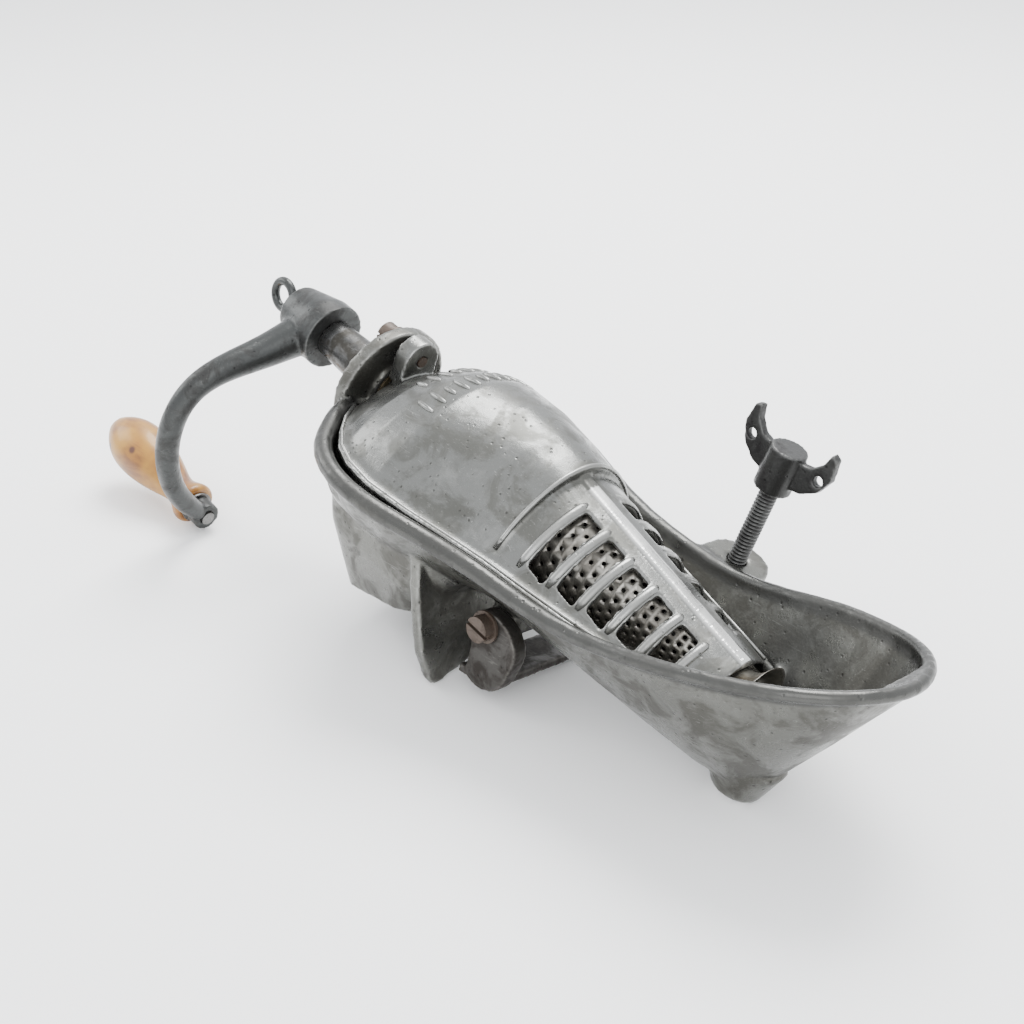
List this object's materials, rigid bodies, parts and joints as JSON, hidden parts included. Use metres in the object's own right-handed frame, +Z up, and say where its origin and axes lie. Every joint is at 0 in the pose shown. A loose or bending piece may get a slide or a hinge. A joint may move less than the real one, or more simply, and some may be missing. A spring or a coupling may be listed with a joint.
{
  "type": "fruit strainer",
  "caption": "Clamp-on hand-cranked fruit strainer: worm in a tapered strainer under a slotted domed cover, long scoop body, wing clamp screw and wooden crank grip",
  "frame": {"origin": "centre of the lying machine's footprint box, on the surface it lies on", "axes": "+X from the crank grip towards the scoop, +Z up from the surface, +Y towards the clamp screw; the worm's axis is tilted in it"},
  "size_m": [0.5284, 0.1868, 0.146],
  "materials": {
    "body_metal": "satin",
    "cover_metal": "satin",
    "strainer_tin": "satin",
    "bush_brass": "satin",
    "screw_steel": "satin",
    "worm_metal": "satin",
    "shaft_steel": "satin",
    "crank_iron": "satin",
    "pin_steel": "satin",
    "handle_wood": "varnished",
    "bolt_steel": "rusty",
    "clamp_iron": "satin",
    "jaw_iron": "matt"
  },
  "bodies": {
    "frame_body": {"body_casting": "body_metal", "grid_cover": "cover_metal", "strainer_cone": "strainer_tin", "strainer_ring": "strainer_tin", "outlet_collar": "strainer_tin", "shaft_bush": "bush_brass", "jaw_screw": "screw_steel", "jaw_washer": "bush_brass"},
    "rotor": {"worm": "worm_metal", "drive_shaft": "shaft_steel", "thrust_washer": "bush_brass", "crank_arm": "crank_iron", "handle_pin": "pin_steel", "handle_washer": "pin_steel"},
    "grip": {"handle_grip": "handle_wood"},
    "eye_washer": {"crank_washer": "pin_steel"},
    "eye_screw": {"crank_eye_screw": "screw_steel"},
    "bolt_washer": {"cover_bolt_washer": "bolt_steel"},
    "bolt": {"cover_bolt": "bolt_steel"},
    "pad": {"clamp_pad": "clamp_iron"},
    "clamp": {"clamp_screw": "clamp_iron", "wing_head": "clamp_iron"},
    "jaw": {"swing_jaw": "jaw_iron"}
  },
  "joints": [
    {"name": "crank_turn", "type": "hinge", "parent": "frame_body", "child": "rotor", "pos_m": [-0.06942, -0.00072, 0.1131], "axis": [0.9686, 0, -0.2487], "continuous": true},
    {"name": "grip_turn", "type": "hinge", "parent": "rotor", "child": "grip", "pos_m": [-0.19715, -0.05963, 0.01774], "axis": [0.9686, 0, -0.2487], "continuous": true},
    {"name": "eye_washer_slide", "type": "slide", "parent": "rotor", "child": "eye_washer", "axis": [-0.9686, 0, 0.2487], "range_m": [0, 0.01]},
    {"name": "eye_screw_turn", "type": "hinge", "parent": "eye_washer", "child": "eye_screw", "pos_m": [-0.14691, -0.00072, 0.133], "axis": [0.9686, 0, -0.2487], "range_deg": [-1, 2881]},
    {"name": "bolt_washer_slide", "type": "slide", "parent": "frame_body", "child": "bolt_washer", "axis": [-0.9686, 0, 0.2487], "range_m": [0, 0.02]},
    {"name": "bolt_turn", "type": "hinge", "parent": "bolt_washer", "child": "bolt", "pos_m": [-0.06318, 0.0038, 0.13741], "axis": [0.9686, 0, -0.2487], "range_deg": [-1, 7201]},
    {"name": "pad_slide", "type": "slide", "parent": "frame_body", "child": "pad", "axis": [0.2448, 0.1771, 0.9533], "range_m": [-0.022, 0.036]},
    {"name": "clamp_turn", "type": "hinge", "parent": "pad", "child": "clamp", "pos_m": [0.11624, 0.07113, 0.05208], "axis": [0.2448, 0.1771, 0.9533], "range_deg": [-3961, 6481]},
    {"name": "jaw_swing", "type": "hinge", "parent": "frame_body", "child": "jaw", "pos_m": [0.06075, -0.00816, 0.037], "axis": [-0.044, 0.9842, -0.1715], "range_deg": [-20, 28]}
  ],
  "couplings": [
    {"joint": "eye_screw_turn", "follows": "eye_washer_slide", "rad_per_m": 5026.5},
    {"joint": "bolt_turn", "follows": "bolt_washer_slide", "rad_per_m": 6283.2},
    {"joint": "clamp_turn", "follows": "pad_slide", "rad_per_m": 3141.6}
  ]
}
